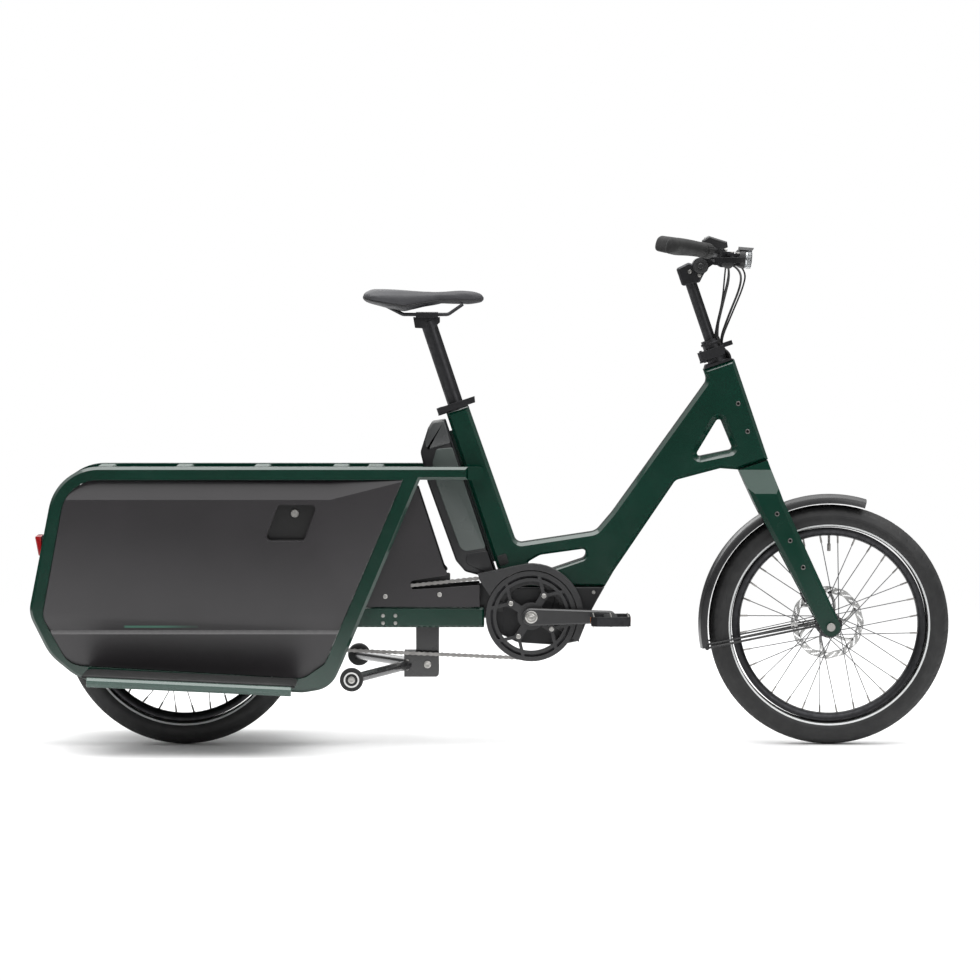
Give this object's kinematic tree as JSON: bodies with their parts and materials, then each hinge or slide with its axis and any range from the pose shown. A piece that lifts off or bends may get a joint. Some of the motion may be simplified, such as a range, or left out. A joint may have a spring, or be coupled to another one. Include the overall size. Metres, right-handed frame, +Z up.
{
  "type": "cargo bicycle",
  "caption": "Longtail cargo bicycle with a low step-through frame, mid motor, small wheels, a long rear deck, moulded side panels and footboards.",
  "frame": {"origin": "on the ground under the middle of the bicycle, midway between its two ends", "axes": "+X forwards, +Y to the rider's left, +Z up"},
  "size_m": [1.9988, 0.6664, 1.1096],
  "materials": {
    "frame_green": "glossy dark green powder coat with clear lacquer",
    "black_paint": "satin black",
    "black_plastic": "fine grain",
    "panel_grey": "smooth satin",
    "battery_grey": "satin",
    "deck_green": "glossy",
    "tyre_rubber": "fine tread",
    "rim_black": "anodised black",
    "spoke_black": "black stainless wire",
    "steel": "brushed",
    "chain_steel": "plated",
    "rubber": "soft grip",
    "red_lens": "clear red lens",
    "saddle_cover": "satin synthetic",
    "alloy_black": "black anodised",
    "bearing_steel": "ground"
  },
  "bodies": {
    "frame": {"main_frame": "frame_green", "bearing_rings": "bearing_steel", "rear_frame": "frame_green", "hoops": "frame_green", "cross_bars": "deck_green", "rear_light": "red_lens", "side_panels": "panel_grey", "skirts": "panel_grey", "footboard_frames": "frame_green", "footboard_treads": "black_plastic", "motor": "black_plastic", "chain_shroud": "black_plastic", "battery_case": "battery_grey", "frame_bolts": "steel", "rear_fender": "black_plastic", "rear_axle": "steel", "rear_caliper": "alloy_black", "drive_chain": "chain_steel", "stand_bracket": "black_paint", "seat_clamp": "alloy_black"},
    "steering": {"fork": "frame_green", "front_axle": "steel", "front_fender": "black_plastic", "front_caliper": "alloy_black", "column_clamp": "alloy_black"},
    "bars": {"stem_column": "alloy_black", "stem": "alloy_black", "handlebar": "alloy_black", "grips": "rubber", "shifter_pod": "black_plastic", "brake_perches": "alloy_black", "headlight": "black_plastic", "control_hoses": "rubber"},
    "height_lever": {"clamp_lever": "alloy_black"},
    "brake_lever_right": {"brake_lever_right": "alloy_black"},
    "brake_lever_left": {"brake_lever_left": "alloy_black"},
    "twist_shifter": {"twist_sleeve": "rubber"},
    "front_wheel": {"front_tyre": "tyre_rubber", "front_rim": "rim_black", "front_spokes": "spoke_black", "front_hub": "alloy_black", "front_rotor": "steel"},
    "rear_wheel": {"rear_tyre": "tyre_rubber", "rear_rim": "rim_black", "rear_spokes": "spoke_black", "rear_hub": "alloy_black"},
    "rear_sprocket": {"rear_sprocket": "steel"},
    "crank": {"spider": "black_paint", "chainring": "alloy_black", "crank_right": "black_paint", "crank_left": "black_paint"},
    "pedal_right": {"pedal_right": "alloy_black"},
    "pedal_left": {"pedal_left": "alloy_black"},
    "stand": {"stand_legs": "black_paint", "stand_feet": "rubber"},
    "seat": {"seat_post": "alloy_black", "saddle": "saddle_cover"},
    "seat_lever": {"seat_lever": "alloy_black"},
    "lock_right": {"panel_lock_right": "steel"},
    "lock_left": {"panel_lock_left": "steel"}
  },
  "joints": [
    {"name": "steer", "type": "hinge", "parent": "frame", "child": "steering", "pos_m": [0.53839, 0, 0.70742], "axis": [-0.3236, 0, 0.9462], "range_deg": [-60, 60]},
    {"name": "bar_height", "type": "slide", "parent": "steering", "child": "bars", "axis": [-0.3236, 0, 0.9462], "range_m": [-0.08, 0.02], "deforming": ["control_hoses"]},
    {"name": "height_lever_swing", "type": "hinge", "parent": "steering", "child": "height_lever", "pos_m": [0.46357, -0.02, 0.83656], "axis": [0.3236, 0, -0.9462], "range_deg": [0, 140]},
    {"name": "brake_right", "type": "hinge", "parent": "bars", "child": "brake_lever_right", "pos_m": [0.53173, -0.118, 1.05855], "axis": [0, 0, -1], "range_deg": [0, 14], "stiffness_Nm_per_rad": 2},
    {"name": "brake_left", "type": "hinge", "parent": "bars", "child": "brake_lever_left", "pos_m": [0.53173, 0.118, 1.05855], "axis": [0, 0, 1], "range_deg": [0, 14], "stiffness_Nm_per_rad": 2},
    {"name": "twist_shift", "type": "hinge", "parent": "bars", "child": "twist_shifter", "pos_m": [0.45973, -0.20953, 1.0786], "axis": [-0.5669, -0.8175, 0.1014], "range_deg": [-60, 60]},
    {"name": "front_wheel_spin", "type": "hinge", "parent": "steering", "child": "front_wheel", "pos_m": [0.7388, 0, 0.262], "axis": [0, 1, 0], "continuous": true},
    {"name": "rear_wheel_spin", "type": "hinge", "parent": "frame", "child": "rear_wheel", "pos_m": [-0.6681, 0, 0.262], "axis": [0, 1, 0], "continuous": true},
    {"name": "crank_spin", "type": "hinge", "parent": "frame", "child": "crank", "pos_m": [0.0885, 0, 0.2846], "axis": [0, 1, 0], "continuous": true},
    {"name": "sprocket_spin", "type": "hinge", "parent": "frame", "child": "rear_sprocket", "pos_m": [-0.6681, 0, 0.262], "axis": [0, 1, 0], "continuous": true},
    {"name": "pedal_right_spin", "type": "hinge", "parent": "crank", "child": "pedal_right", "pos_m": [0.2585, -0.15, 0.2846], "axis": [0, 1, 0], "continuous": true},
    {"name": "pedal_left_spin", "type": "hinge", "parent": "crank", "child": "pedal_left", "pos_m": [-0.0815, 0.15, 0.2846], "axis": [0, 1, 0], "continuous": true},
    {"name": "stand_swing", "type": "hinge", "parent": "frame", "child": "stand", "pos_m": [-0.1371, 0, 0.177], "axis": [0, -1, 0], "range_deg": [0, 88]},
    {"name": "seat_height", "type": "slide", "parent": "frame", "child": "seat", "axis": [-0.3173, 0, 0.9483], "range_m": [-0.15, 0.08]},
    {"name": "seat_lever_swing", "type": "hinge", "parent": "frame", "child": "seat_lever", "pos_m": [-0.10688, -0.022, 0.7288], "axis": [0.3173, 0, -0.9483], "range_deg": [0, 140]},
    {"name": "lock_right_turn", "type": "hinge", "parent": "frame", "child": "lock_right", "pos_m": [-0.4236, -0.07, 0.509], "axis": [0, 1, 0], "range_deg": [0, 90]},
    {"name": "lock_left_turn", "type": "hinge", "parent": "frame", "child": "lock_left", "pos_m": [-0.4236, 0.07, 0.509], "axis": [0, 1, 0], "range_deg": [0, 90]}
  ],
  "couplings": [
    {"joint": "sprocket_spin", "follows": "crank_spin", "ratio": 2.5556}
  ]
}
